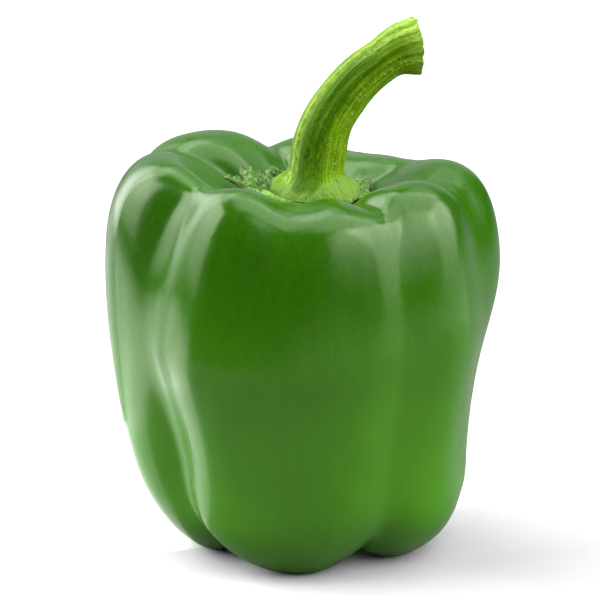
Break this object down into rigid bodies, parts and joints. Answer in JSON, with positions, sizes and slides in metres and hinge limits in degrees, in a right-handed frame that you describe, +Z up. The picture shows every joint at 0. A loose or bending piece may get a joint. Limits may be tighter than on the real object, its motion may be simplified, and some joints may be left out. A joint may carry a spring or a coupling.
{
  "type": "bell pepper",
  "caption": "Green bell pepper, a blocky lobed fruit standing upright on its soles, with a toothed calyx in its crown and a curved ribbed stalk.",
  "frame": {"origin": "on the surface the pepper stands on, under the middle of the fruit's outline seen from above", "axes": "+Z up along the fruit; -Y towards the front, between the two front lobes; +X right, the way the stalk curves"},
  "size_m": [0.0876, 0.0836, 0.1194],
  "materials": {
    "waxy_skin": "glossy waxy green fruit skin",
    "calyx_leaf": "crinkled dark green leaf",
    "stalk_fibre": "fibrous yellow-green stalk"
  },
  "bodies": {
    "root": {"fruit": "waxy_skin", "calyx": "calyx_leaf", "stem": "stalk_fibre"}
  },
  "joints": []
}
